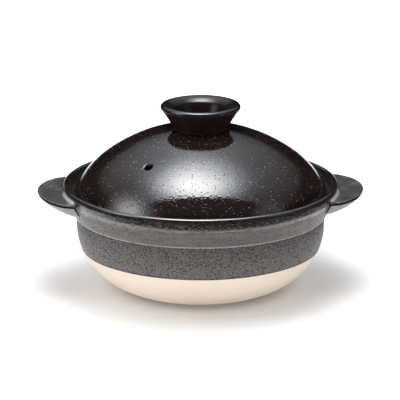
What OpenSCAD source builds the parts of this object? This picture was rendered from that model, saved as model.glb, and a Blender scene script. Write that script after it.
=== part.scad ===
// Clay cooking pot with a loose domed lid. Millimetres, +Z up, origin at the middle of the base.
// The sizes of the pot and of the lid are those of the clay, and the glaze lies on top of them.

/* [Pot] */
// Diameter of the clay over the rim
rim_d = 251; // [225:1:280]
// Height of the clay from the base to the top of the rim
pot_h = 98.5; // [85:0.5:120]
// Largest diameter of the wall below the collar
belly_d = 227; // [205:1:250]
// Radius of the round heel between the base and the belly
heel_r = 61; // [50:1:75]
// Thickness of the wall and of the floor
wall_t = 7; // [5:0.5:9]

/* [Rim and seat] */
// Height of the upright band under the lip
band_h = 10; // [6:0.5:14]
// How far the band leans out from its foot to its top
band_lean = 1; // [0:0.1:2]
// Height of the flared collar under the band
collar_h = 18.5; // [12:0.5:24]
// How far the foot of the collar stands out over the belly
step_w = 2.2; // [1.2:0.1:4]
// Radius of the rounded lip
lip_r = 1.8; // [1.5:0.1:3]
// Depth of the lid's seat below the top of the rim
seat_drop = 8; // [6:0.5:12]
// How far the inside of the rim leans in from the lip to the seat
seat_lean = 3; // [1:0.1:4]
// Width of the flat seat
seat_w = 12; // [10:0.5:16]
// Radius of the edge between the seat and the mouth
mouth_edge_r = 2; // [1:0.1:4]

/* [Handles] */
// How far a handle stands out beyond the rim
handle_reach = 24; // [16:1:40]
// Width of a handle along the rim
handle_w = 102; // [60:1:120]
// How pointed a handle is when it is seen from above, where 1 is half an oval
handle_point = 1.4; // [1:0.1:1.6]
// Depth of a handle's flat top below the top of the rim
handle_drop = 7.5; // [5:0.5:14]
// Thickness of a handle at its rounded tip
handle_tip_t = 2.5; // [1.5:0.5:7]
// Thickness of a handle where it meets the wall
handle_root_t = 11; // [6:0.5:18]
// Radius of the fillet that runs from a handle's side into the rim
handle_fillet_r = 4; // [2:0.5:14]
// Radius of the cove where a handle's top runs up to the rim
handle_cove_r = 5; // [2:0.5:6]

/* [Lid] */
// Radius of the dome's crown
crown_r = 152; // [135:1:180]
// Angle from the lid's axis at which the crown runs into the shoulder
crown_angle = 35; // [28:1:42]
// Radius of the dome's shoulder
shoulder_r = 89.5; // [60:0.5:105]
// Thickness of the lid's clay
lid_t = 6; // [4:0.5:8]
// Height of the upright edge of the lid above the seat
lid_edge_h = 1.2; // [0.8:0.1:3]
// Gap between the glazed edge of the lid and the glazed rim
lid_gap = 2.2; // [0.8:0.1:3]

/* [Knob] */
// Diameter over the knob's beaded rim
knob_d = 73.5; // [60:0.5:85]
// Height of the knob above the crown of the clay dome
knob_h = 20.5; // [17:0.5:28]
// Radius of the bead
bead_r = 3; // [2.5:0.1:4.5]
// Diameter of the neck where it stands on the dome
neck_d = 49.5; // [40:0.5:54]
// Height of the upright foot of the neck
neck_foot_h = 1.5; // [1:0.1:3]
// Thickness of the clay between the dish in the top of the knob and the dome
dish_floor_t = 2.5; // [1.5:0.5:8]
// Radius of the rounding that runs from the top of the bead into the dish
dish_edge_r = 12; // [8:0.5:13]
// Width of the dish's wall, from the top of the bead to the flat of the dish, seen from above
dish_wall_w = 20; // [18.5:0.5:24]
// Radius of the fillet between the wall and the flat of the dish
dish_fillet_r = 6; // [4:0.5:7]

/* [Vent] */
// Diameter of the steam vent
vent_d = 7; // [5:0.5:9]
// Distance of the vent from the lid's axis
vent_reach = 79; // [50:1:82]
// Direction of the vent around the lid's axis, counted from +X
vent_turn = 231.5; // [0:0.5:360]

/* [Glaze] */
// Thickness of the glaze
glaze_t = 0.6; // [0.4:0.1:1]
// Height of the line where the outer glaze ends above the bare clay
glaze_line_h = 39; // [25:1:50]
// Height of the bare edge left inside the lid above the seat
lid_bare_h = 3; // [2:0.5:6]

/* [Hidden] */
// Fineness of the curves
$fn = 96;
// Straight steps in one round stretch of an outline
arc_steps = 16;
// Points of an outline that lie closer than this are one point
same_point = 0.001;
// Angle at which the neck runs into the bead, counted from the outside of the bead
bead_meet = -75;
// Steepest angle from the lid's axis that the dome's shoulder has at the edge
steepest_edge = 63;

// Points along an arc about c, from angle a to angle b
function arc(c, r, a, b) =
    [for (i = [0 : arc_steps]) let (t = a + (b - a) * i / arc_steps) c + r * [cos(t), sin(t)]];

// The same, with the angles counted from the axis of the lid
function dome_arc(c, r, a, b) = arc(c, r, 90 - a, 90 - b);

function backwards(path) = [for (i = [len(path) - 1 : -1 : 0]) path[i]];

// Two paths put end to end, with one point where they meet
function joined(a, b) =
    let (start = norm(b[0] - a[len(a) - 1]) < same_point ? 1 : 0)
    concat(a, [for (i = [start : len(b) - 1]) b[i]]);

// Unit vector to the left of the way from p to q
function left_of(p, q) = let (d = q - p) [-d[1], d[0]] / norm(d);

// Path moved by t to the left of its own direction, with mitred corners, and no further than the axis
function beside(path, t) =
    let (last = len(path) - 1)
    [for (i = [0 : last])
        let (
            start = max(i - 1, 0),
            end = min(i + 1, last),
            before = left_of(path[start], path[start + 1]),
            after = left_of(path[end - 1], path[end]),
            middle = (before + after) / norm(before + after),
            moved = path[i] + middle * t / (middle * before)
        )
        [max(moved[0], 0), moved[1]]];

// Outline of a coat of glaze that lies to the left of a path
function coat(path) = concat(path, backwards(beside(path, glaze_t)));

// Clay radii and heights of the pot
rim_r = rim_d / 2;
belly_r = belly_d / 2;
base_r = belly_r - heel_r;
heel_c = [base_r, heel_r];
band_z = pot_h - band_h;
band_r = rim_r - band_lean;
step_z = band_z - collar_h;
step_angle = asin((step_z - heel_r) / heel_r);
step_r = base_r + heel_r * cos(step_angle) + step_w;
glaze_line_angle = asin((glaze_line_h - heel_r) / heel_r);
lip_c = [rim_r - lip_r, pot_h - lip_r];
seat_r = rim_r - 2 * lip_r - seat_lean;
seat_z = pot_h - seat_drop;
mouth_r = seat_r - seat_w;
mouth_c = [mouth_r + mouth_edge_r, seat_z - mouth_edge_r];

handle_z = pot_h - handle_drop;
fillet_y = handle_w / 2 + handle_fillet_r;
fillet_turn = asin(fillet_y / (rim_r + handle_fillet_r));
fillet_c = [(rim_r + handle_fillet_r) * cos(fillet_turn), fillet_y];

// Side of the bare heel, from the edge of the base up to the glaze line
bare_path = arc(heel_c, heel_r, -90, glaze_line_angle);
// Outside of the pot, from the top of the lip down to the glaze line
outside_path = concat(
    arc(lip_c, lip_r, 90, 0),
    [[band_r, band_z], [step_r, step_z]],
    arc(heel_c, heel_r, step_angle, glaze_line_angle)
);
// All that the outer glaze covers, from the seat over the lip and down to the glaze line
glazed_path = joined(
    concat([[seat_r, seat_z]], arc(lip_c, lip_r, 180, 90)),
    outside_path
);
// Rounded edge of the mouth, from the wall up to the seat
mouth_path = arc(mouth_c, mouth_edge_r, 180, 90);
// Inside of the pot, from the middle of the floor up to the edge of the mouth
inside_path = concat(
    [[0, wall_t]],
    arc(heel_c, heel_r - wall_t, -90, 0),
    [mouth_path[0]]
);

// Clay radii and heights of the lid, with a straight slope where the shoulder can't reach the edge
lid_r = seat_r - 2 * glaze_t - lid_gap;
dome_reach = crown_r * sin(crown_angle) + shoulder_r * (sin(steepest_edge) - sin(crown_angle));
slope_w = max(lid_r - dome_reach, 0);
slope_h = slope_w * tan(crown_angle);
shoulder_x = (crown_r - shoulder_r) * sin(crown_angle) + slope_w;
edge_angle = asin((lid_r - shoulder_x) / shoulder_r);
shoulder_c = [shoulder_x, seat_z + lid_edge_h - shoulder_r * cos(edge_angle)];
crown_c = [0, shoulder_c[1] + slope_h - (crown_r - shoulder_r) * cos(crown_angle)];
inner_shoulder_r = shoulder_r - lid_t;
inner_crown_r = crown_r - lid_t;
seat_angle = acos((seat_z - shoulder_c[1]) / inner_shoulder_r);
bare_angle = acos((seat_z + lid_bare_h - shoulder_c[1]) / inner_shoulder_r);

// Radii and heights of the knob
neck_r = neck_d / 2;
neck_angle = asin(neck_r / crown_r);
neck_z = crown_c[1] + crown_r * cos(neck_angle);
knob_z = crown_c[1] + crown_r + knob_h;
bead_c = [knob_d / 2 - bead_r, knob_z - bead_r];
dish_z = crown_c[1] + crown_r + dish_floor_t;
dish_c = [bead_c[0] - dish_wall_w, dish_z + dish_fillet_r];
edge_c = [bead_c[0], knob_z - dish_edge_r];
// Angle at which the rounding runs into the straight wall of the dish, which touches it and the fillet
dish_span = edge_c - dish_c;
edge_end = 180 + atan2(dish_span[1], dish_span[0]) - acos((dish_edge_r + dish_fillet_r) / norm(dish_span));

// Crown of the clay under the knob
knob_seat_path = dome_arc(crown_c, crown_r, 0, neck_angle);
// Rest of the dome's outside, from the neck of the knob out to the edge
dome_path = joined(
    dome_arc(crown_c, crown_r, neck_angle, crown_angle),
    dome_arc(shoulder_c, shoulder_r, crown_angle, edge_angle)
);
// Bare stretch inside the lid, from the seat up to the glaze
lid_bare_path = dome_arc(shoulder_c, inner_shoulder_r, seat_angle, bare_angle);
// Glazed inside of the lid, from the bare stretch up to the crown
lid_inside_path = joined(
    dome_arc(shoulder_c, inner_shoulder_r, bare_angle, crown_angle),
    dome_arc(crown_c, inner_crown_r, crown_angle, 0)
);

module turned(outline) {
    rotate_extrude() polygon(outline);
}

// The pot as a filled form, which the handles stand against
module clay_core() {
    turned(concat([[0, 0]], joined(bare_path, backwards(outside_path)), [[0, pot_h]]));
}

// Seen from above, a handle along +X is a pointed half oval with filleted ends that reach into the wall
module handle_plan() {
    tip = [
        for (p = arc([0, 0], 1, 0, 90))
            [rim_r + handle_reach * pow(max(0, p[0]), handle_point), handle_w / 2 * p[1]]
    ];
    fillet = arc(fillet_c, handle_fillet_r, -90, fillet_turn - 180);
    root = fillet[len(fillet) - 1] - [wall_t, 0];
    half = concat(tip, fillet, [root]);
    polygon(concat(half, backwards([for (p = half) if (p[1] > 0) [p[0], -p[1]]])));
}

// Seen from the side, it thickens from its round tip to the wall, and its flat top ends in a cove
module handle_side() {
    round_c = [rim_r + handle_reach - handle_tip_t / 2, handle_z - handle_tip_t / 2];
    cove_c = [rim_r + handle_cove_r, handle_z + handle_cove_r];
    polygon(concat(
        [[mouth_r, handle_z - handle_root_t], [rim_r, handle_z - handle_root_t]],
        arc(round_c, handle_tip_t / 2, -90, 90),
        arc(cove_c, handle_cove_r, -90, -180),
        [[mouth_r, handle_z + handle_cove_r]]
    ));
}

module handle_shape() {
    intersection() {
        linear_extrude(pot_h) handle_plan();
        rotate_extrude() handle_side();
    }
}

module handle(turn) {
    color("dimgray")
        difference() {
            rotate([0, 0, turn]) handle_shape();
            clay_core();
        }
}

module vent() {
    translate([0, 0, crown_c[1]])
        rotate([0, asin(vent_reach / crown_r), vent_turn])
            translate([0, 0, inner_crown_r - lid_t])
                cylinder(d = vent_d, h = 3 * lid_t);
}

module pot_body() {
    outer = joined(bare_path, backwards(glazed_path));
    inner = joined(backwards(mouth_path), backwards(inside_path));
    color("blanchedalmond") turned(concat([[0, 0]], outer, inner));
}

module pot_outer_glaze() {
    color("dimgray")
        difference() {
            turned(coat(glazed_path));
            for (turn = [0, 180])
                rotate([0, 0, turn]) handle_shape();
        }
}

module pot_inner_glaze() {
    color("saddlebrown") turned(coat(inside_path));
}

module left_handle() {
    handle(180);
}

module right_handle() {
    handle(0);
}

module lid_dome() {
    outer = joined(knob_seat_path, dome_path);
    inner = joined(lid_bare_path, lid_inside_path);
    color("blanchedalmond")
        difference() {
            turned(concat(outer, [[lid_r, seat_z]], inner));
            vent();
        }
}

module lid_outer_glaze() {
    color([0.12, 0.08, 0.07])
        difference() {
            turned(coat(dome_path));
            vent();
        }
}

module lid_inner_glaze() {
    color("saddlebrown")
        difference() {
            turned(coat(lid_inside_path));
            vent();
        }
}

module lid_knob() {
    neck_top = [neck_r, neck_z + neck_foot_h];
    rim = joined(arc(bead_c, bead_r, bead_meet, 90), arc(edge_c, dish_edge_r, 90, edge_end));
    dish = concat(arc(dish_c, dish_fillet_r, edge_end - 180, -90), [[0, dish_z]]);
    color([0.12, 0.08, 0.07])
        turned(concat(knob_seat_path, [neck_top], rim, dish));
}

pot_body();
pot_outer_glaze();
pot_inner_glaze();
left_handle();
right_handle();
lid_dome();
lid_outer_glaze();
lid_inner_glaze();
lid_knob();
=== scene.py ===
# %% [markdown]
# # A clay cooking pot with a loose lid
# The pot is thrown on a wheel, dipped in dark glaze and fired. Nearly all of it is turned, so in
# Blender most pieces are half outlines that are spun round the Z axis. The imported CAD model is
# loaded first: it fixes every size and place, and each piece made here stands for one CAD node.

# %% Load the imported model
import math

import bpy
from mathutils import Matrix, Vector


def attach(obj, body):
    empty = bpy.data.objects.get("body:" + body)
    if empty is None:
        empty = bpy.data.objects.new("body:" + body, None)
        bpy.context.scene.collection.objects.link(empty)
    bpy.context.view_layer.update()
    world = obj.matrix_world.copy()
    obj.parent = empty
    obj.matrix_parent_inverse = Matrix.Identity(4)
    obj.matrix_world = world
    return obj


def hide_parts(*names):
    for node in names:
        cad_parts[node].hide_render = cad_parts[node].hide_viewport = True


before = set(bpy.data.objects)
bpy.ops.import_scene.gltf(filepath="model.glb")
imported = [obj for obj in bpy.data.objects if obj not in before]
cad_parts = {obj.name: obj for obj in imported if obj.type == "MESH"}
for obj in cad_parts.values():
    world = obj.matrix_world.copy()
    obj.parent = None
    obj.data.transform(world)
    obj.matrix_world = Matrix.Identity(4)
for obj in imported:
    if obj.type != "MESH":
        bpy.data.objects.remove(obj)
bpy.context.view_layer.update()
MM = 0.001

# %% [markdown]
# ## Camera
# A long lens from well back keeps the rim's ellipse flat. The camera stands a little to the left of
# the front and looks down by about 16 degrees, which is how the rim and the lid's edge lie in the
# picture. It aims slightly below the rim so that the pot sits in the middle of a square picture.

# %% Camera
EYE_DISTANCE = 2.4
EYE_TURN = math.radians(-2.4)
EYE_RISE = math.radians(15.834)
WATCHED = Vector((0, 0, 96.2 * MM))
AIM = Vector((-0.5 * MM, 0, 80.9 * MM))
SENSOR_W, LENS = 36, 234.9
FAR_CLIP = 30

eye = WATCHED + EYE_DISTANCE * Vector((
    math.sin(EYE_TURN) * math.cos(EYE_RISE),
    -math.cos(EYE_TURN) * math.cos(EYE_RISE),
    math.sin(EYE_RISE),
))
bpy.ops.object.select_all(action="DESELECT")
bpy.ops.object.camera_add(location=eye, rotation=(AIM - eye).to_track_quat("-Z", "Y").to_euler())
camera = bpy.context.object
camera.data.sensor_width = SENSOR_W
camera.data.lens = LENS
camera.data.clip_end = FAR_CLIP
bpy.context.scene.camera = camera
bpy.context.scene.view_settings.view_transform = "Standard"
print("camera at", [round(c, 3) for c in eye])

# %% [markdown]
# ## Shader maths
# Materials are easier to read as sums and products than as a list of links. A Wire is one socket of a
# node tree. Adding or multiplying wires adds Math nodes, and any other node comes from `add`.

# %% Wires
SPOT_CORE = 0.4
CHOICE_EDGE = 0.001


class Wire:
    """One socket of a node tree, so that shader maths reads like ordinary Python."""

    def __init__(self, tree, socket=None):
        self.tree = tree
        self.socket = socket

    def put(self, node, key, value):
        if isinstance(value, Wire):
            self.tree.links.new(value.socket, node.inputs[key])
        else:
            node.inputs[key].default_value = value

    def add(self, kind, settings, inputs, give=0):
        node = self.tree.nodes.new("ShaderNode" + kind)
        for key, value in settings.items():
            setattr(node, key, value)
        for key, value in inputs.items():
            self.put(node, key, value)
        return Wire(self.tree, node.outputs[give])

    def twin(self, give):
        """Another output of the node that this wire comes from."""
        return Wire(self.tree, self.socket.node.outputs[give])

    def maths(self, operation, first, second):
        return self.add("Math", {"operation": operation}, {0: first, 1: second})

    def __add__(self, other):
        return self.maths("ADD", self, other)

    def __sub__(self, other):
        return self.maths("SUBTRACT", self, other)

    def __rsub__(self, other):
        return self.maths("SUBTRACT", other, self)

    def __mul__(self, other):
        return self.maths("MULTIPLY", self, other)

    __radd__ = __add__
    __rmul__ = __mul__

    def rise(self, low, high):
        """0 below low, 1 above high and smooth between; a high below low turns it round."""
        limits = {"Value": self, "From Min": low, "From Max": high}
        return self.add("MapRange", {"interpolation_type": "SMOOTHSTEP"}, limits)

    def rise_mm(self, low, high):
        """The same with both limits in millimetres."""
        return self.rise(low * MM, high * MM)

    def blend(self, first, second):
        """Colour that goes from first to second as this wire goes from 0 to 1."""
        return self.add("Mix", {"data_type": "RGBA"}, {0: self, 6: first, 7: second}, 2)

    def noise(self, size, detail=2, roughness=0.5):
        """Soft random values with lumps of about this size in metres; the wire is the place."""
        inputs = {"Vector": self, "Scale": 1 / size, "Detail": detail, "Roughness": roughness}
        return self.add("TexNoise", {}, inputs)

    def cells(self, size):
        """Distance to the nearest of random points that lie about this far apart."""
        return self.add("TexVoronoi", {}, {"Vector": self, "Scale": 1 / size})

    def spots(self, size, share, reach):
        """Round spots in a share of the cells, with a radius of reach times the cell's size."""
        cell = self.cells(size)
        draw = cell.add("SeparateColor", {}, {0: cell.twin("Color")})
        chosen = draw.rise(1 - share, 1 - share + CHOICE_EDGE)
        return cell.rise(reach, reach * SPOT_CORE) * chosen

    def length(self):
        """Length of a vector."""
        return self.add("VectorMath", {"operation": "LENGTH"}, {0: self}, "Value")

    def height(self):
        """Third coordinate of a place; its twins X and Y are the other two."""
        return self.add("SeparateXYZ", {}, {0: self}, "Z")

    def size(self):
        """The value without its sign."""
        return self.maths("ABSOLUTE", self, 0)

    def larger(self, other):
        return self.maths("MAXIMUM", self, other)

    def fade(self):
        """1 at 0, and less and less as the wire grows."""
        return self.maths("POWER", math.e, self * -1)

    def bump(self, strength, depth):
        """Normals of a surface with this wire as its relief."""
        inputs = {"Strength": strength, "Distance": depth, "Height": self}
        return self.add("Bump", {}, inputs)

    def fitted(self, move, stretch):
        """The place after stretching and then moving it."""
        return self.add("Mapping", {}, {"Vector": self, "Location": move, "Scale": stretch})


# %% [markdown]
# ## Materials
# Every material reads the place on its piece in metres, so patterns have a real size and stay on the
# piece when it moves. A glaze with pits mixes two shaders: the glaze itself and the dull floor of a pit.

# %% Material helpers
PIT_ROUGHNESS, PIT_SHINE = 0.8, 0.1


def new_material(name):
    """A material with its shader node, and a wire that carries the place on the piece."""
    material = bpy.data.materials.new(name)
    material.use_nodes = True
    shader = material.node_tree.nodes["Principled BSDF"]
    place = Wire(material.node_tree).add("TexCoord", {}, {}, "Object")
    return material, shader, place


def set_shader(place, shader, values):
    for key, value in values.items():
        place.put(shader, key, value)


def from_axis(place):
    """Distance from the pot's axis."""
    return place.add("VectorMath", {"operation": "MULTIPLY"}, {0: place, 1: (1, 1, 0)}).length()


def open_pits(material, place, shader, pits, colour):
    """Lets a dull dark floor show through the glaze wherever pits is 1."""
    glaze = Wire(material.node_tree, shader.outputs["BSDF"])
    dull = {"Base Color": colour, "Roughness": PIT_ROUGHNESS, "Specular IOR Level": PIT_SHINE}
    floor = place.add("BsdfPrincipled", {}, dull)
    mixed = place.add("MixShader", {}, {0: pits, 1: glaze, 2: floor})
    place.put(material.node_tree.nodes["Material Output"], "Surface", mixed)


print("spots have a core of", SPOT_CORE)

# %% [markdown]
# ## Studio
# The light is one wide scrim overhead with a lamp behind its front edge, so that it is hot and slightly
# warm there and fades to a cool grey at the sides and the back. A smaller box at the left, a board at
# the right and three low strips round the front fill the shadows. Area lights suit this: they show in
# the glaze but never get in the camera's way. The strips only light the pot and are kept out of
# reflections. Each lamp has nodes of its own, in which the unevenness is painted. Its power is pi times
# its area, so that the strength in its nodes is its brightness.

# %% Softbox helpers
SOFTBOX_TINT = (0.97, 0.985, 1.0, 1)


def softbox(name, place, aim, width, depth):
    """An area lamp, with wires for the place across it (0 to 1) and its shader."""
    bpy.ops.object.select_all(action="DESELECT")
    turn = (Vector(aim) - Vector(place)).to_track_quat("-Z", "Y").to_euler()
    bpy.ops.object.light_add(type="AREA", location=place, rotation=turn)
    lamp = bpy.context.object
    lamp.name = name
    lamp.data.shape = "RECTANGLE"
    lamp.data.size = width
    lamp.data.size_y = depth
    lamp.data.energy = math.pi * width * depth
    lamp.data.use_nodes = True
    tree = lamp.data.node_tree
    across = Wire(tree).add("NewGeometry", {}, {}, "Parametric")
    across.put(tree.nodes["Emission"], "Color", SOFTBOX_TINT)
    return across, tree.nodes["Emission"]


def from_middle(across, middle, stretch):
    """Distance across the lamp from a middle, in the units that stretch makes."""
    moved = across.add("VectorMath", {"operation": "SUBTRACT"}, {0: across, 1: (*middle, 0)})
    scaled = moved.add("VectorMath", {"operation": "MULTIPLY"}, {0: moved, 1: (*stretch, 0)})
    return scaled.length()


print("softbox tint", SOFTBOX_TINT)

# %% Scrim overhead
SCRIM_W, SCRIM_D, SCRIM_Y, SCRIM_Z = 4.0, 3.0, 1.05, 1.2
HOT_MIDDLE, HOT_SIZE, HOT_STRENGTH = (0.48, 0.095), 0.43, 8.2
WIDE_MIDDLE, WIDE_SQUEEZE, WIDE_STRENGTH = (0.48, 0.38), 1.3, 1.2
COOL_GLOW, WARM_GLOW = (0.88, 0.93, 1.0, 1), (1.0, 0.985, 0.96, 1)

across, emission = softbox("softbox_top", (0, SCRIM_Y, SCRIM_Z), (0, SCRIM_Y, 0), SCRIM_W, SCRIM_D)
hot = from_middle(across, HOT_MIDDLE, (SCRIM_W / HOT_SIZE, SCRIM_D / HOT_SIZE))
hot_glow = (hot * hot).fade()
wide_glow = from_middle(across, WIDE_MIDDLE, (SCRIM_W * WIDE_SQUEEZE, SCRIM_D)).fade()
across.put(emission, "Strength", HOT_STRENGTH * hot_glow + WIDE_STRENGTH * wide_glow)
across.put(emission, "Color", hot_glow.rise(0.05, 0.7).blend(COOL_GLOW, WARM_GLOW))
print("scrim", SCRIM_W, "by", SCRIM_D, "m")

# %% Box, board and strips
CENTRE = (0.5, 0.5)
LID_PLACE, WALL_PLACE = (0, 0, 0.12), (0, 0, 0.04)
BOX_W, BOX_D, BOX_STRENGTH = 1.6, 1.1, 2.7
BOX_GLOW_W, BOX_GLOW_D = 0.43, 0.31
BOARD_W, BOARD_D, BOARD_STRENGTH = 1.6, 1.2, 0.25
STRIP_D = 0.3
DARK_ROOM = (0.02, 0.02, 0.022, 1)

across, emission = softbox("softbox_left", (-1.32, -0.36, 0.94), LID_PLACE, BOX_W, BOX_D)
spread = from_middle(across, CENTRE, (BOX_W / BOX_GLOW_W, BOX_D / BOX_GLOW_D))
across.put(emission, "Strength", BOX_STRENGTH * (spread * spread).fade())

across, emission = softbox("board_right", (1.6, -0.7, 1.0), LID_PLACE, BOARD_W, BOARD_D)
spread = from_middle(across, CENTRE, (BOARD_W, BOARD_D))
across.put(emission, "Strength", BOARD_STRENGTH * spread.rise(0.7, 0.3))

for side, place, width, strength in (
    ("front", (-0.1, -1.7, 0.16), 2.4, 5.7),
    ("left", (-1.6, -0.5, 0.16), 1.4, 7.2),
    ("right", (1.6, -0.6, 0.16), 1.4, 6.4),
):
    across, emission = softbox("fill_" + side, place, WALL_PLACE, width, STRIP_D)
    across.put(emission, "Strength", strength)
    bpy.context.object.visible_glossy = False

world = bpy.data.worlds.new("dim_studio")
bpy.context.scene.world = world
world.use_nodes = True
world.node_tree.nodes["Background"].inputs["Color"].default_value = DARK_ROOM

# %% [markdown]
# ## Turned outlines
# A potter's profile is a half outline beside the wheel's axis. Here a small plane is merged to one
# point, the point is extruded along straight stretches and spun along round ones, and the finished
# outline is spun once round the axis. Doubles are merged where the outline meets itself.

# %% Outline helper
ROUND_STEPS = 192
SAME_PLACE = 0.002 * MM


class Outline:
    """A half outline in the XZ plane, in millimetres, that is drawn and then turned."""

    def __init__(self, name, r, z):
        bpy.ops.object.select_all(action="DESELECT")
        bpy.ops.mesh.primitive_plane_add(size=MM)
        self.piece = bpy.context.object
        self.piece.name = name
        self.piece.data.name = name
        bpy.ops.object.mode_set(mode="EDIT")
        bpy.ops.mesh.merge(type="CENTER")
        bpy.ops.transform.translate(value=(r * MM, 0, z * MM))
        self.at = (r, z)

    def line(self, r, z, steps=1):
        step = ((r - self.at[0]) / steps * MM, 0, (z - self.at[1]) / steps * MM)
        for _ in range(steps):
            bpy.ops.mesh.extrude_region_move(TRANSFORM_OT_translate={"value": step})
        self.at = (r, z)
        return self

    def arc(self, centre, degrees, steps):
        """Round stretch about a centre, counter-clockwise as seen from the front."""
        turn = math.radians(degrees)
        pivot = (centre[0] * MM, 0, centre[1] * MM)
        bpy.ops.mesh.spin(steps=steps, angle=turn, center=pivot, axis=(0, 1, 0))
        dr, dz = self.at[0] - centre[0], self.at[1] - centre[1]
        r = centre[0] + dr * math.cos(turn) - dz * math.sin(turn)
        z = centre[1] + dr * math.sin(turn) + dz * math.cos(turn)
        self.at = (r, z)
        return self

    def turned(self, steps=ROUND_STEPS):
        bpy.ops.mesh.select_all(action="SELECT")
        bpy.ops.mesh.spin(steps=steps, angle=2 * math.pi, center=(0, 0, 0), axis=(0, 0, 1))
        bpy.ops.mesh.select_all(action="SELECT")
        bpy.ops.mesh.remove_doubles(threshold=SAME_PLACE)
        bpy.ops.mesh.normals_make_consistent(inside=False)
        bpy.ops.object.mode_set(mode="OBJECT")
        return self.piece


print("turned pieces have", ROUND_STEPS, "steps")

# %% Piece helpers
SMOOTH_BELOW = 40


def select_only(piece):
    """Makes one piece the active and only selected one."""
    bpy.ops.object.select_all(action="DESELECT")
    piece.select_set(True)
    bpy.context.view_layer.objects.active = piece


def edit_whole(piece):
    """Opens a piece for editing with all of it selected."""
    select_only(piece)
    bpy.ops.object.mode_set(mode="EDIT")
    bpy.ops.mesh.select_all(action="SELECT")


def apply_modifier(piece, kind, **settings):
    """Adds one modifier and applies it at once."""
    bpy.context.view_layer.objects.active = piece
    modifier = piece.modifiers.new(kind.lower(), kind)
    for key, value in settings.items():
        setattr(modifier, key, value)
    bpy.ops.object.modifier_apply(modifier=modifier.name)


def pick(piece, wanted):
    """Selects the vertices for which wanted(x, y, z) is true, in millimetres."""
    bpy.ops.object.mode_set(mode="EDIT")
    bpy.ops.mesh.select_mode(type="VERT")
    bpy.ops.mesh.select_all(action="DESELECT")
    bpy.ops.object.mode_set(mode="OBJECT")
    for vertex in piece.data.vertices:
        place = (piece.matrix_world @ vertex.co) / MM
        vertex.select = bool(wanted(place.x, place.y, place.z))
    bpy.ops.object.mode_set(mode="EDIT")


def face_towards(piece, place, direction):
    """Turns all faces of an open sheet so that the one nearest to a place looks in a direction."""
    nearest = min(piece.data.polygons, key=lambda face: (face.center - Vector(place) * MM).length)
    if nearest.normal.dot(Vector(direction)) < 0:
        edit_whole(piece)
        bpy.ops.mesh.flip_normals()
        bpy.ops.object.mode_set(mode="OBJECT")


def smooth(piece):
    select_only(piece)
    bpy.ops.object.shade_smooth_by_angle(angle=math.radians(SMOOTH_BELOW))


def settle(piece, body, node, material):
    """Gives a finished piece its finish and tells the frame what it is."""
    smooth(piece)
    if not piece.data.materials:
        piece.data.materials.append(material)
    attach(piece, body)
    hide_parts(node)
    print(piece.name, len(piece.data.polygons), "faces")


def in_mm(piece):
    """Outer sizes of a piece in millimetres, for printing."""
    return [round(s / MM, 1) for s in piece.dimensions]


print("edges under", SMOOTH_BELOW, "degrees are shaded smooth")

# %% [markdown]
# ## Floor
# The pot stands on a plain white sweep: a floor that curves up all round, far away, so that every
# side of the pot has white behind it. The floor is lit by the lamps and keeps their shadow. A glow that
# only the camera sees lifts it to white, but it is kept low round the pot and fades out at the base, so
# part of the shadow and the dark contact line under the pot are painted shadow. In reflections only the
# paper round the pot and two patches behind it are white, as in a studio where the paper is small and
# the room is dark. The patches give the thin bright lines at the sides of the lid and of the lip.

# %% Floor
FLOOR_R, FLOOR_MIDDLE_R = 5000, 400
SWEEP_R, SWEEP_TOP = 600, 2200
FLOOR_STEPS = 96

floor_line = Outline("floor", 0, 0).line(FLOOR_MIDDLE_R, 0).line(FLOOR_R - SWEEP_R, 0)
floor_line.arc((FLOOR_R - SWEEP_R, SWEEP_R), 90, 8).line(FLOOR_R, SWEEP_TOP)
floor = floor_line.turned(FLOOR_STEPS)
face_towards(floor, (0, 0, 0), (0, 0, 1))
smooth(floor)
print("floor", in_mm(floor))

# %% Floor paper
PAPER_WHITE, ROOM_DARK = (0.9, 0.885, 0.87, 1), (0.03, 0.03, 0.03, 1)
SHADOW_GLOW, FAR_GLOW = 0.165, 0.88
NEAR_MIRROR, BEHIND_MIRROR = 0.6, 0.9

paper, paper_shader, paper_place = new_material("white_paper")
paper.node_tree.nodes.remove(paper_shader)
seen_by = paper_place.add("LightPath", {}, {}, "Is Camera Ray")
mirrored = seen_by.twin("Is Glossy Ray") + seen_by.twin("Is Transmission Ray")

along = paper_place.height().twin("Y")
aside = along.twin("X").size()
behind = aside.rise(0.05, 0.08) * aside.rise(0.6, 0.45) * along.rise(0.26, 0.3) * along.rise(1.4, 1.1)
near = paper_place.fitted((0.02, -0.03, 0), (0.8, 1, 1)).length().rise(0.27, 0.2)
mirror_glow = near * NEAR_MIRROR + behind * BEHIND_MIRROR

# painted shadow: the camera's glow stays low within an oval round the pot and drops to nothing at the
# base, for the contact shadow
contact = paper_place.length().rise(0.068, 0.095)
beyond = paper_place.fitted((0.01, -0.039, 0), (1, 0.65, 1)).length().rise(0.12, 0.26)
camera_glow = SHADOW_GLOW * contact + FAR_GLOW * beyond

lit = paper_place.add("BsdfDiffuse", {}, {"Color": PAPER_WHITE})
shine = paper_place.add("Emission", {}, {"Strength": seen_by * camera_glow + mirrored * mirror_glow})
white = paper_place.add("AddShader", {}, {0: lit, 1: shine})
dark = paper_place.add("BsdfDiffuse", {}, {"Color": ROOM_DARK})
shown = paper_place.add("MixShader", {}, {0: mirrored * (1 - near) * (1 - behind), 1: white, 2: dark})
paper_place.put(paper.node_tree.nodes["Material Output"], "Surface", shown)
floor.data.materials.append(paper)
print("material", paper.name)

# %% [markdown]
# ## Sizes of the pot
# The pot's main sizes are in millimetres. The finishes need them as well as the shapes, because the glaze
# changes at the step, at the rim and at the line where the dip ended.

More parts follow.
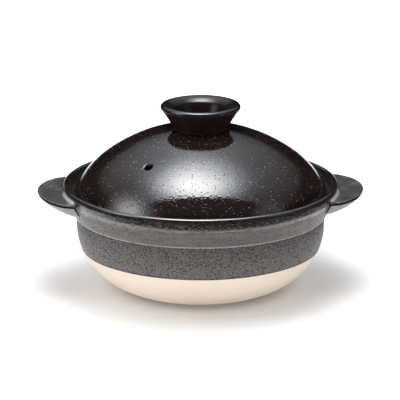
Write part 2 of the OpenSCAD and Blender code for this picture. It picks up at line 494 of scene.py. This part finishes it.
# %% Pot sizes
RIM_R, POT_H = 125.5, 98.5
BELLY_R, HEEL_R = 113.5, 61
WALL_T = 7
BAND_R, BAND_Z = 124.5, 88.5
STEP_Z, STEP_W = 70, 2.2
LIP_R = 1.8
SEAT_R, SEAT_Z = 118.9, 90.5
MOUTH_R, MOUTH_EDGE_R = 106.9, 2
GLAZE_T = 0.6
GLAZE_LINE_Z = 39
print("pot", 2 * RIM_R, "mm over the rim,", POT_H, "mm high")

# %% [markdown]
# ## Glaze of the lid
# An iron glaze runs to a glossy brown-black. It is not even: the surface is slightly dimpled like
# orange peel, small pinholes stay where gas escaped, and pale golden grains of the clay show through.
# The knob has the same glaze. It is made duller and darker under the flare and in the dish, which paints
# the shade that falls there.

# %% Lid glaze
IRON_DARK, IRON_BROWN = (0.0105, 0.0063, 0.0056, 1), (0.021, 0.0122, 0.0098, 1)
GOLD_GRAIN, PALE_GRAIN = (0.6, 0.48, 0.36, 1), (1.0, 0.94, 0.84, 1)
PINHOLE_DARK = (0.0105, 0.0055, 0.0042, 1)
COOL_SHINE = (0.94, 0.965, 1.0, 1)
KNOB_FOOT_Z, KNOB_FLARE_Z, KNOB_DISH_R = 151, 167.5, 33.2


def knob_shade(place):
    """Share of dull dark glaze on the knob, as painted shade: most under the flare, some in the dish, none
    on the bead.
    """
    height = place.height()
    under = height.rise_mm(KNOB_FLARE_Z + 1, KNOB_FLARE_Z) * height.rise_mm(KNOB_FOOT_Z - 0.7, KNOB_FOOT_Z)
    inside = from_axis(place).rise_mm(KNOB_DISH_R + 1.2, KNOB_DISH_R)
    dish = inside * height.rise_mm(KNOB_FOOT_Z + 0.2, KNOB_FOOT_Z + 1)
    return (under * 0.85).larger(dish * 0.4)


def iron_glaze(name, peel, grains, shade):
    """Glossy glaze; peel is how strong the dimples are, grains how bright the golden grains."""
    material, shader, place = new_material(name)
    cloud = place.noise(30 * MM, 3)
    body = cloud.blend(IRON_DARK, IRON_BROWN)
    fine = place.spots(1.3 * MM, 0.15, 0.27) * grains
    bold = place.spots(2.3 * MM, 0.24, 0.15) * grains
    speckled = (fine * 0.7).blend(body, GOLD_GRAIN)
    speckled = bold.blend(speckled, PALE_GRAIN)
    pinholes = place.spots(2.6 * MM, 0.45, 0.3)
    relief = place.noise(1.7 * MM, 0) * 0.6 + place.noise(6 * MM, 0) * 0.25 - pinholes * 0.4
    set_shader(place, shader, {
        "Base Color": speckled,
        "Roughness": 0.03 + 0.08 * cloud,
        "IOR": 1.65,
        "Specular IOR Level": 1.0,
        "Specular Tint": COOL_SHINE,
        "Normal": relief.bump(peel, 0.3 * MM),
    })
    # dull share: the pinholes, and on the knob the painted shade under the flare and in the dish
    dull = (pinholes * 0.85).larger(shade(place) if shade else 0)
    open_pits(material, place, shader, dull, PINHOLE_DARK)
    return material


lid_finish = iron_glaze("iron_glaze", 0.42, 1, None)
knob_finish = iron_glaze("knob_glaze", 0.3, 0.25, knob_shade)
print("materials", lid_finish.name, knob_finish.name)

# %% [markdown]
# ## Glaze of the wall
# The wall below the rim has the same dip but a drier, satin skin with dark pits, which are larger at the
# sides. It is darker on the rim, where it was wiped, with a ragged lower edge and pale flecks, and
# coarsest below the step. A painted highlight runs along the step's edge, and a painted shadow lies under
# it at the sides.

# %% Wall glaze
SMOOTH_DARK, SMOOTH_GREY = (0.016, 0.015, 0.014, 1), (0.07, 0.066, 0.061, 1)
SMOOTH_GRIT = (0.15, 0.141, 0.132, 1)
ROUGH_DARK, ROUGH_GREY = (0.045, 0.0415, 0.04, 1), (0.165, 0.1525, 0.1465, 1)
WIPED_DARK, WIPED_BROWN = (0.006, 0.004, 0.0035, 1), (0.05, 0.038, 0.033, 1)
PALE_FLECK = (0.25, 0.23, 0.22, 1)
STEP_PAINTED_HIGHLIGHT, STEP_PAINTED_SHADOW = (0.42, 0.39, 0.37, 1), (0.01, 0.009, 0.009, 1)
TOE_BROWN = (0.045, 0.03, 0.02, 1)
WALL_PIT = (0.012, 0.01, 0.009, 1)


def wall_glaze(name):
    material, shader, place = new_material(name)
    height = place.height()
    flat = place.fitted((0, 0, 0), (1, 1, 5))
    ragged = flat.noise(6 * MM, 4, 0.7)
    rings = flat.noise(22 * MM, 3)
    rim = (height + (ragged - 0.5) * 15 * MM).rise_mm(BAND_Z - 2.5, BAND_Z - 1.5)
    lip = height.rise_mm(POT_H - 3, POT_H - 1.5)
    coarse = (height + (ragged - 0.5) * 8 * MM).rise_mm(STEP_Z + 2, STEP_Z - 1)
    # painted highlight along the step's edge
    step_highlight = height.rise_mm(STEP_Z - 0.1, STEP_Z + 0.1) * height.rise_mm(STEP_Z + 1.3, STEP_Z + 0.6)
    aside = height.twin("X").size().rise_mm(35, 95)
    # painted shadow under the step, used only at the sides
    step_shadow = height.rise_mm(STEP_Z - 2.2, STEP_Z - 1.4) * height.rise_mm(STEP_Z - 0.1, STEP_Z - 0.3)
    toe = height.rise_mm(GLAZE_LINE_Z + 1.6, GLAZE_LINE_Z + 0.8)
    grit = place.noise(0.9 * MM, 2, 0.7)
    pits = place.spots(1.9 * MM, 0.65, 0.43) * coarse
    flecks = flat.noise(2.6 * MM, 2, 0.6).rise(0.54, 0.66) * height.rise_mm(POT_H - 1.5, POT_H - 8.5)
    patches = place.noise(20 * MM).rise(0.35, 0.6) * 0.7
    large_pits = place.spots(2.8 * MM, 0.6, 0.35) * patches.larger(aside)
    smooth_skin = rings.rise(0.3, 0.7).blend(SMOOTH_DARK, SMOOTH_GREY)
    smooth_skin = (grit.rise(0.46, 0.6) * 0.6).blend(smooth_skin, SMOOTH_GRIT)
    rough_skin = grit.rise(0.4, 0.62).blend(ROUGH_DARK, ROUGH_GREY)
    body = coarse.blend(smooth_skin, rough_skin)
    wiped = ragged.rise(0.35, 0.8).blend(WIPED_DARK, WIPED_BROWN)
    wiped = (flecks * 0.75 * (1 - lip)).blend(wiped, PALE_FLECK)
    body = rim.blend(body, wiped)
    # paint the highlight on the step's edge and the shadow under it at the sides
    body = (step_highlight * 0.8).blend(body, STEP_PAINTED_HIGHLIGHT)
    body = (step_shadow * aside * 0.8).blend(body, STEP_PAINTED_SHADOW)
    body = (toe * 0.8).blend(body, TOE_BROWN)
    relief = grit * (0.5 + coarse) * (1 - 0.7 * rim) - pits - large_pits + rings * 1.2 * (1 - lip)
    set_shader(place, shader, {
        "Base Color": body,
        "Roughness": 0.42 - 0.2 * rim + 0.16 * (grit - 0.5),
        "IOR": 1.6,
        "Specular IOR Level": 0.5,
        "Coat Weight": 0.5 * rim + 0.5 * lip,
        "Coat Roughness": 0.04,
        "Coat IOR": 2.2,
        "Normal": relief.bump(0.85, 0.5 * MM),
    })
    open_pits(material, place, shader, pits.larger(large_pits) * 0.9 * (1 - lip), WALL_PIT)
    return material


wall_finish = wall_glaze("satin_wall_glaze")
print("material", wall_finish.name)

# %% [markdown]
# ## Bare clay and inner glaze
# The heel is left bare so that the pot doesn't stick in the kiln and stands the flame: a pale warm
# clay with fine grain. From just under the seat upwards the clay is painted dark brown, as painted shade
# in the narrow gap between the lid's edge and the rim. The inside has a thin glossy brown glaze.

# %% Clay and inner glaze
CLAY_WARM, CLAY_PALE = (0.84, 0.718, 0.616, 1), (0.88, 0.77, 0.682, 1)
CLAY_GRAIN, CLAY_FLECK = (0.78, 0.66, 0.54, 1), (0.6, 0.47, 0.35, 1)
SEAT_PAINTED_SHADE = (0.014, 0.009, 0.007, 1)
INNER_DARK, INNER_BROWN = (0.028, 0.017, 0.012, 1), (0.06, 0.035, 0.022, 1)
INNER_FLECK = (0.32, 0.2, 0.1, 1)


def bare_clay(name):
    material, shader, place = new_material(name)
    cloud = place.noise(35 * MM, 3)
    grain = place.noise(0.9 * MM, 3, 0.6)
    flecks = place.spots(5 * MM, 0.35, 0.1)
    body = cloud.blend(CLAY_WARM, CLAY_PALE)
    body = (grain * 0.35).blend(body, CLAY_GRAIN)
    body = (flecks * 0.6).blend(body, CLAY_FLECK)
    # painted shade: clay from just under the seat upwards, in the gap under the lid's edge, is coloured
    # dark
    seat_shade = place.height().rise_mm(SEAT_Z - 3.5, SEAT_Z - 2.5)
    relief = grain + place.noise(4 * MM, 2) * 0.8
    set_shader(place, shader, {
        "Base Color": seat_shade.blend(body, SEAT_PAINTED_SHADE),
        "Roughness": 0.8 + 0.12 * grain,
        "Specular IOR Level": 0.3,
        "Normal": relief.bump(0.25, 0.25 * MM),
    })
    return material


def inner_glaze(name):
    material, shader, place = new_material(name)
    cloud = place.noise(24 * MM, 4)
    flecks = place.spots(3.4 * MM, 0.35, 0.14)
    body = cloud.blend(INNER_DARK, INNER_BROWN)
    relief = place.noise(4 * MM, 2) - flecks * 0.5
    set_shader(place, shader, {
        "Base Color": (flecks * 0.6).blend(body, INNER_FLECK),
        "Roughness": 0.16 + 0.12 * cloud,
        "Specular IOR Level": 0.5,
        "Normal": relief.bump(0.25, 0.3 * MM),
    })
    return material


clay_finish = bare_clay("bare_clay")
inner_finish = inner_glaze("brown_inner_glaze")
print("materials", clay_finish.name, inner_finish.name)

# %% [markdown]
# ## Pot body
# One lump of clay, opened and pulled up: a flat base, a round heel, a belly, a collar that steps out,
# an upright band under the lip, and inside it the flat seat that carries the lid. One closed outline
# from the middle of the base to the middle of the floor gives the whole body.

# %% Pot body
HEEL_C = (BELLY_R - HEEL_R, HEEL_R)
LIP_C = (RIM_R - LIP_R, POT_H - LIP_R)
step_angle = math.degrees(math.asin((STEP_Z - HEEL_R) / HEEL_R))
step_r = HEEL_C[0] + HEEL_R * math.cos(math.radians(step_angle)) + STEP_W
line_angle = math.degrees(math.asin((GLAZE_LINE_Z - HEEL_R) / HEEL_R))

body_line = Outline("pot_clay", 0, 0).line(HEEL_C[0], 0, 12).arc(HEEL_C, 90 + step_angle, 28)
body_line.line(step_r, STEP_Z).line(BAND_R, BAND_Z, 5).line(RIM_R, LIP_C[1], 2)
body_line.arc(LIP_C, 180, 10).line(SEAT_R, SEAT_Z, 2).line(MOUTH_R + MOUTH_EDGE_R, SEAT_Z, 3)
body_line.arc((MOUTH_R + MOUTH_EDGE_R, SEAT_Z - MOUTH_EDGE_R), 90, 4)
body_line.line(HEEL_C[0] + HEEL_R - WALL_T, HEEL_R, 6).arc(HEEL_C, -90, 24).line(0, WALL_T, 12)
pot_clay = body_line.turned()
print("pot clay", in_mm(pot_clay))

# %% [markdown]
# ## Hand-thrown unevenness
# A thrown wall is never a perfect turned surface. A Displace modifier with soft clouds moves every
# point by a fraction of a millimetre, by its place in space, so that clay and glaze move together.
# The base was cut off flat with a wire, so its points are pressed back to the floor.

# %% Unevenness
LUMP_SIZE, UNEVENNESS = 55, 0.5
BASE_BELOW = 0.4

thrown = bpy.data.textures.new("thrown", "CLOUDS")
thrown.noise_scale = LUMP_SIZE * MM
thrown.noise_depth = 1


def uneven(piece, amount=UNEVENNESS):
    apply_modifier(piece, "DISPLACE", texture=thrown, texture_coords="GLOBAL", strength=amount * MM)


def glazed(piece):
    """Thickens a sheet that lies on the clay to a coat of glaze, outwards from the clay."""
    apply_modifier(piece, "SOLIDIFY", thickness=GLAZE_T * MM, offset=1, use_even_offset=True)
    uneven(piece)


uneven(pot_clay)
pick(pot_clay, lambda x, y, z: z < BASE_BELOW)
bpy.ops.transform.resize(value=(1, 1, 0), center_override=(0, 0, 0))
bpy.ops.object.mode_set(mode="OBJECT")
settle(pot_clay, "pot", "pot_body", clay_finish)

# %% [markdown]
# ## Outer glaze of the pot
# The coat starts at the lid's seat, runs over the lip and down the outside to the line where the dip
# ended. It is the same outline as the clay below it, turned and then thickened outwards.

# %% Outer glaze
coat_line = Outline("pot_outer_coat", SEAT_R, SEAT_Z).line(LIP_C[0] - LIP_R, LIP_C[1], 2)
coat_line.arc(LIP_C, -180, 12).line(BAND_R, BAND_Z, 3).line(step_r, STEP_Z, 6)
coat_line.line(step_r - STEP_W, STEP_Z).arc(HEEL_C, line_angle - step_angle, 12)
outer_coat = coat_line.turned()
face_towards(outer_coat, (BAND_R, 0, BAND_Z), (1, 0, 0))
glazed(outer_coat)
settle(outer_coat, "pot", "pot_outer_glaze", wall_finish)

# %% [markdown]
# ## Inner glaze of the pot
# The same way of making, for the inside: from the middle of the floor up to the mouth.

# %% Inner glaze
bowl_line = Outline("pot_inner_coat", 0, WALL_T).line(HEEL_C[0], WALL_T, 12).arc(HEEL_C, 90, 24)
bowl_line.line(MOUTH_R, SEAT_Z - MOUTH_EDGE_R, 6)
inner_coat = bowl_line.turned()
face_towards(inner_coat, (20, 0, WALL_T), (0, 0, 1))
glazed(inner_coat)
settle(inner_coat, "pot", "pot_inner_glaze", inner_finish)

# %% [markdown]
# ## Glaze of the handles
# The wings are pressed smooth, so their glaze has the colour of the wall but few pits. Painted light is
# added to that colour: a painted highlight in the front of the cove, pale painted floor light on the
# underside, a painted dark reflection along the edge and a painted shadow in the seam where the wing was
# luted to the wall. A wing rises towards its tip, so the bands follow its slope.

# %% Handle glaze
HANDLE_REACH, HANDLE_W, HANDLE_Z = 24.6, 97, 91
TIP_T, TIP_RISE, ROOT_T, COVE_W = 2.6, 1.9, 11, 5
TIP_SLOPE = TIP_RISE / (HANDLE_REACH - COVE_W - TIP_T / 2)
SEAM_R, WALL_SLOPE = 80.4, 0.512
WING_DARK, WING_GREY = (0.068, 0.065, 0.069, 1), (0.13, 0.125, 0.13, 1)
# painted light on the wings: highlight in the cove, floor light under, dark reflection on the edge, shadow
# in the seam
COVE_PAINTED_HIGHLIGHT, UNDER_PAINTED_FLOOR_LIGHT = (0.6, 0.59, 0.58, 1), (0.38, 0.372, 0.36, 1)
EDGE_PAINTED_DARK_REFLECTION, SEAM_PAINTED_SHADOW = (0.012, 0.011, 0.011, 1), (0.012, 0.009, 0.008, 1)
WING_PIT = (0.01, 0.009, 0.009, 1)


def handle_glaze(name):
    material, shader, place = new_material(name)
    height = place.height()
    away = from_axis(place)
    level = height - TIP_SLOPE * (away - (RIM_R + COVE_W) * MM)
    cloud = place.noise(16 * MM, 3)
    grain = place.noise(1.5 * MM, 2)
    pits = place.spots(3.4 * MM, 0.4, 0.16)
    # painted shadow in the seam where the wing meets the wall
    at_wall = (away - WALL_SLOPE * height).rise_mm(SEAM_R + 1.4, SEAM_R)
    seam_shadow = at_wall * level.rise_mm(HANDLE_Z - 1, HANDLE_Z - 2)
    # painted highlight in the front of the cove
    cove_highlight = level.rise_mm(HANDLE_Z + 0.6, HANDLE_Z + 2) * height.twin("Y").rise_mm(-4, -22)
    # painted floor light on the underside
    under = level.rise_mm(HANDLE_Z - TIP_T, HANDLE_Z - TIP_T - 0.6)
    # painted dark reflection along the edge
    edge = level.rise_mm(HANDLE_Z - 0.6, HANDLE_Z - 1.1)
    body = cloud.rise(0.3, 0.7).blend(WING_DARK, WING_GREY)
    # colour with painted light: cove highlight, edge reflection, underside floor light, seam shadow
    body = (cove_highlight * 0.8).blend(body, COVE_PAINTED_HIGHLIGHT)
    body = edge.blend(body, under.blend(EDGE_PAINTED_DARK_REFLECTION, UNDER_PAINTED_FLOOR_LIGHT))
    body = seam_shadow.blend(body, SEAM_PAINTED_SHADOW)
    relief = grain * 0.4 + place.noise(7 * MM, 1) - pits
    set_shader(place, shader, {
        "Base Color": (pits * 0.8).blend(body, WING_PIT),
        "Roughness": 0.14 + 0.12 * cloud,
        "IOR": 1.6,
        "Specular IOR Level": 0.8,
        "Normal": relief.bump(0.35, 0.3 * MM),
    })
    return material


handle_finish = handle_glaze("smooth_handle_glaze")
print("material", handle_finish.name)

# %% [markdown]
# ## Handles
# Each handle is a wing of clay, nearly flat on top and thinner towards its slightly raised tip, that is
# luted to the wall and smoothed with a wet finger. So the wing is modelled as its plan, a half oval
# extruded upwards, cut to its side view, which is turned round the pot's axis. It is joined with a patch
# of wall that lies just under the surface, remeshed to one skin and smoothed: the corner between the
# wing and the wall fills up by itself. What lies inside the wall is cut away at the end.

# %% Wing blank
WING_ROOT = RIM_R - 18
BLANK_BELOW, BLANK_H = 20, 30
PLAN_POINTS = 128
TAPER_STEP, TAPER = 2, 0.983
AT_RIM, PAST_RIM = 0.01, 0.1

bpy.ops.object.select_all(action="DESELECT")
bpy.ops.mesh.primitive_circle_add(vertices=PLAN_POINTS, radius=HANDLE_W / 2 * MM, fill_type="NGON")
wing = bpy.context.object
wing.name = "right_wing"
wing.data.name = "right_wing"
bpy.ops.object.mode_set(mode="EDIT")
bpy.ops.transform.resize(value=(HANDLE_REACH / (HANDLE_W / 2), 1, 1))
bpy.ops.mesh.bisect(plane_co=(0, 0, 0), plane_no=(1, 0, 0), clear_inner=True)
bpy.ops.mesh.select_all(action="SELECT")
bpy.ops.transform.translate(value=(RIM_R * MM, 0, (HANDLE_Z - BLANK_BELOW) * MM))
for reach in range(0, int(HANDLE_REACH), TAPER_STEP):
    pick(wing, lambda x, y, z: x > RIM_R + reach + PAST_RIM)
    bpy.ops.transform.resize(value=(1, TAPER, 1), center_override=(0, 0, 0))
pick(wing, lambda x, y, z: x < RIM_R + AT_RIM)
bpy.ops.mesh.extrude_region_move(TRANSFORM_OT_translate={"value": ((WING_ROOT - RIM_R) * MM, 0, 0)})
bpy.ops.mesh.select_all(action="SELECT")
bpy.ops.mesh.extrude_region_move(TRANSFORM_OT_translate={"value": (0, 0, BLANK_H * MM)})
bpy.ops.mesh.select_all(action="SELECT")
bpy.ops.mesh.normals_make_consistent(inside=False)
bpy.ops.object.mode_set(mode="OBJECT")
print("wing blank", in_mm(wing))

# %% Wing side
tip_c = (RIM_R + HANDLE_REACH - TIP_T / 2, HANDLE_Z + TIP_RISE - TIP_T / 2)
side_line = Outline("wing_side", WING_ROOT, HANDLE_Z - ROOT_T).line(RIM_R, HANDLE_Z - ROOT_T)
side_line.line(tip_c[0], tip_c[1] - TIP_T / 2).arc(tip_c, 180, 8).line(RIM_R + COVE_W, HANDLE_Z, 3)
side_line.arc((RIM_R + COVE_W, HANDLE_Z + COVE_W), -90, 8).line(WING_ROOT, HANDLE_Z + COVE_W)
side_line.line(WING_ROOT, HANDLE_Z - ROOT_T)
wing_side = side_line.turned()
apply_modifier(wing, "BOOLEAN", operation="INTERSECT", solver="EXACT", object=wing_side)
bpy.data.objects.remove(wing_side)
print("wing", in_mm(wing))

# %% Luting the wing to the wall
SUNK = 1.0
PATCH_R, PATCH_LOW, PATCH_TOP = 104, 66, POT_H - 2
PATCH_CUT = (98 * MM, 0, 0)
VOXEL = 0.7
ROOT_REACH = 7

patch_line = Outline("wall_patch", PATCH_R, PATCH_LOW).line(step_r - STEP_W - SUNK, PATCH_LOW, 3)
patch_line.line(step_r - SUNK, STEP_Z).line(BAND_R - SUNK, BAND_Z, 6).line(RIM_R - SUNK, PATCH_TOP, 3)
patch_line.line(PATCH_R, PATCH_TOP, 5).line(PATCH_R, PATCH_LOW, 8)
wall_patch = patch_line.turned()
edit_whole(wall_patch)
bpy.ops.mesh.bisect(plane_co=PATCH_CUT, plane_no=(1, 0, 0), clear_inner=True, use_fill=True)
bpy.ops.object.mode_set(mode="OBJECT")

select_only(wing)
wall_patch.select_set(True)
bpy.ops.object.join()
apply_modifier(wing, "REMESH", mode="VOXEL", voxel_size=VOXEL * MM)
apply_modifier(wing, "SMOOTH", factor=0.5, iterations=4)
pick(wing, lambda x, y, z: math.hypot(x, y) < RIM_R + ROOT_REACH)
bpy.ops.object.mode_set(mode="OBJECT")
root = wing.vertex_groups.new(name="root")
root.add([v.index for v in wing.data.vertices if v.select], 1, "REPLACE")
apply_modifier(wing, "SMOOTH", factor=0.5, iterations=10, vertex_group="root")
print("luted wing", len(wing.data.polygons), "faces")

# %% Cutting the wing free of the wall
core_line = Outline("wall_core", 0, 0).line(HEEL_C[0], 0).arc(HEEL_C, 90 + step_angle, 28)
core_line.line(step_r, STEP_Z).line(BAND_R, BAND_Z, 3).line(RIM_R, LIP_C[1], 2)
core_line.arc(LIP_C, 90, 6).line(0, POT_H)
wall_core = core_line.turned()
apply_modifier(wing, "BOOLEAN", operation="DIFFERENCE", solver="EXACT", object=wall_core)
bpy.data.objects.remove(wall_core)
wing.vertex_groups.clear()

select_only(wing)
bpy.ops.object.duplicate()
left_wing = bpy.context.object
left_wing.name = "left_wing"
left_wing.data.name = "left_wing"
edit_whole(left_wing)
bpy.ops.transform.rotate(value=math.pi, orient_axis="Z", center_override=(0, 0, 0))
bpy.ops.object.mode_set(mode="OBJECT")
settle(wing, "pot", "right_handle", handle_finish)
settle(left_wing, "pot", "left_handle", handle_finish)

# %% [markdown]
# ## Lid
# The lid is thrown upside down as a shallow bowl: a wide crown and a rounder shoulder that runs to the
# edge. Its clay, the glossy coat outside and the thin coat inside are turned from the same arcs. The
# steam vent is then cut through all three with one cutter, whose mouth is flared like a wiped edge.
# The glaze ran into the vent, so the cutter has the lid's glaze, and the Boolean hands it on.

# %% Lid clay and coats
CROWN_R, CROWN_ANGLE, SHOULDER_R = 152, 35, 89.5
LID_R, LID_T, LID_EDGE_H, LID_BARE_H = 115.5, 6, 1.2, 3
NECK_R = 24.75
shoulder_x = (CROWN_R - SHOULDER_R) * math.sin(math.radians(CROWN_ANGLE))
edge_angle = math.degrees(math.asin((LID_R - shoulder_x) / SHOULDER_R))
SHOULDER_C = (shoulder_x, SEAT_Z + LID_EDGE_H - SHOULDER_R * math.cos(math.radians(edge_angle)))
CROWN_C = (0, SHOULDER_C[1] - (CROWN_R - SHOULDER_R) * math.cos(math.radians(CROWN_ANGLE)))
neck_angle = math.degrees(math.asin(NECK_R / CROWN_R))
crown_z = CROWN_C[1] + CROWN_R
neck_z = CROWN_C[1] + CROWN_R * math.cos(math.radians(neck_angle))
seat_rise = SEAT_Z - SHOULDER_C[1]
inner_r = SHOULDER_R - LID_T
seat_angle = math.degrees(math.acos(seat_rise / inner_r))
bare_angle = math.degrees(math.acos((seat_rise + LID_BARE_H) / inner_r))
seat_x = SHOULDER_C[0] + inner_r * math.sin(math.radians(seat_angle))
bare_x = SHOULDER_C[0] + inner_r * math.sin(math.radians(bare_angle))

lid_line = Outline("lid_clay", 0, crown_z).arc(CROWN_C, -CROWN_ANGLE, 24)
lid_line.arc(SHOULDER_C, CROWN_ANGLE - edge_angle, 18).line(LID_R, SEAT_Z).line(seat_x, SEAT_Z, 2)
lid_line.arc(SHOULDER_C, seat_angle - CROWN_ANGLE, 18).arc(CROWN_C, CROWN_ANGLE, 24)
lid_clay = lid_line.turned()
uneven(lid_clay)

dome_line = Outline("lid_outer_coat", NECK_R, neck_z).arc(CROWN_C, neck_angle - CROWN_ANGLE, 22)
dome_line.arc(SHOULDER_C, CROWN_ANGLE - edge_angle, 18)
dome_coat = dome_line.turned()
face_towards(dome_coat, (NECK_R, 0, neck_z), (0, 0, 1))
glazed(dome_coat)

under_line = Outline("lid_inner_coat", bare_x, SEAT_Z + LID_BARE_H)
under_line.arc(SHOULDER_C, bare_angle - CROWN_ANGLE, 18).arc(CROWN_C, CROWN_ANGLE, 24)
under_coat = under_line.turned()
face_towards(under_coat, (20, 0, crown_z - LID_T), (0, 0, -1))
glazed(under_coat)
print("lid", in_mm(dome_coat))

# %% Steam vent
VENT_R, VENT_REACH, VENT_TURN = 3.5, 79, 231.5
FLARE_R, FLARE_SPARE = 1.6, 0.2
CUT_LOW, CUT_TOP = -12, 4
VENT_STEPS = 48
vent_lean = math.asin(VENT_REACH / CROWN_R)

vent_line = Outline("vent_cutter", 0, CUT_LOW).line(VENT_R, CUT_LOW).line(VENT_R, -FLARE_R)
vent_line.arc((VENT_R + FLARE_R, -FLARE_R), -90, 6)
vent_line.line(VENT_R + FLARE_R + FLARE_SPARE, CUT_TOP).line(0, CUT_TOP)
vent_cutter = vent_line.turned(VENT_STEPS)
vent_cutter.data.materials.append(lid_finish)
edit_whole(vent_cutter)
bpy.ops.transform.translate(value=(0, 0, (CROWN_R + GLAZE_T) * MM))
bpy.ops.transform.rotate(value=-vent_lean, orient_axis="Y", center_override=(0, 0, 0))
bpy.ops.transform.rotate(value=-math.radians(VENT_TURN), orient_axis="Z", center_override=(0, 0, 0))
bpy.ops.transform.translate(value=(0, 0, CROWN_C[1] * MM))
bpy.ops.object.mode_set(mode="OBJECT")
cut = {"operation": "DIFFERENCE", "solver": "EXACT", "material_mode": "TRANSFER"}
for sheet, finish in ((lid_clay, clay_finish), (dome_coat, lid_finish), (under_coat, inner_finish)):
    sheet.data.materials.append(finish)
    apply_modifier(sheet, "BOOLEAN", object=vent_cutter, **cut)
bpy.data.objects.remove(vent_cutter)
settle(lid_clay, "lid", "lid_dome", clay_finish)
settle(dome_coat, "lid", "lid_outer_glaze", lid_finish)
settle(under_coat, "lid", "lid_inner_glaze", inner_finish)
print("vent", 2 * VENT_R, "mm wide,", VENT_REACH, "mm from the axis")

# %% [markdown]
# ## Knob
# The knob is a small flared bowl, thrown apart and luted to the crown. It doubles as a foot when the
# lid lies upside down. Its outline climbs a small roll of slip at the foot and then the neck, rounds the
# bead, runs over the broad soft rim and sinks into the dish.

# %% Knob
KNOB_R, KNOB_H, BEAD_R, BEAD_MEET = 36.75, 20.5, 3, -75
DISH_FLOOR_T, DISH_WALL_W, DISH_EDGE_R, DISH_FILLET_R = 2.5, 20, 12, 6
SLIP_ROLL = ((0.8, 0.2), (0.8, 0.6), (0.3, 0.9), (0.2, 1.5))
KNOB_STEPS, KNOB_UNEVENNESS = 144, 0.3
BEAD_C = (KNOB_R - BEAD_R, crown_z + KNOB_H - BEAD_R)
EDGE_C = (BEAD_C[0], crown_z + KNOB_H - DISH_EDGE_R)
DISH_C = (BEAD_C[0] - DISH_WALL_W, crown_z + DISH_FLOOR_T + DISH_FILLET_R)
span = Vector(EDGE_C) - Vector(DISH_C)
wall_turn = math.atan2(span.y, span.x) - math.acos((DISH_EDGE_R + DISH_FILLET_R) / span.length)
edge_end = 180 + math.degrees(wall_turn)
bead_start = (
    BEAD_C[0] + BEAD_R * math.cos(math.radians(BEAD_MEET)),
    BEAD_C[1] + BEAD_R * math.sin(math.radians(BEAD_MEET)),
)
fillet_start = (
    DISH_C[0] + DISH_FILLET_R * math.cos(wall_turn),
    DISH_C[1] + DISH_FILLET_R * math.sin(wall_turn),
)

knob_line = Outline("lid_knob_piece", 0, crown_z).arc(CROWN_C, -neck_angle, 8)
for out, up in SLIP_ROLL:
    knob_line.line(NECK_R + out, neck_z + up)
knob_line.line(*bead_start, 6).arc(BEAD_C, 90 - BEAD_MEET, 16).arc(EDGE_C, edge_end - 90, 10)
knob_line.line(*fillet_start, 4).arc(DISH_C, 90 - edge_end, 8).line(0, crown_z + DISH_FLOOR_T, 6)
knob = knob_line.turned(KNOB_STEPS)
uneven(knob, KNOB_UNEVENNESS)
settle(knob, "lid", "lid_knob", knob_finish)
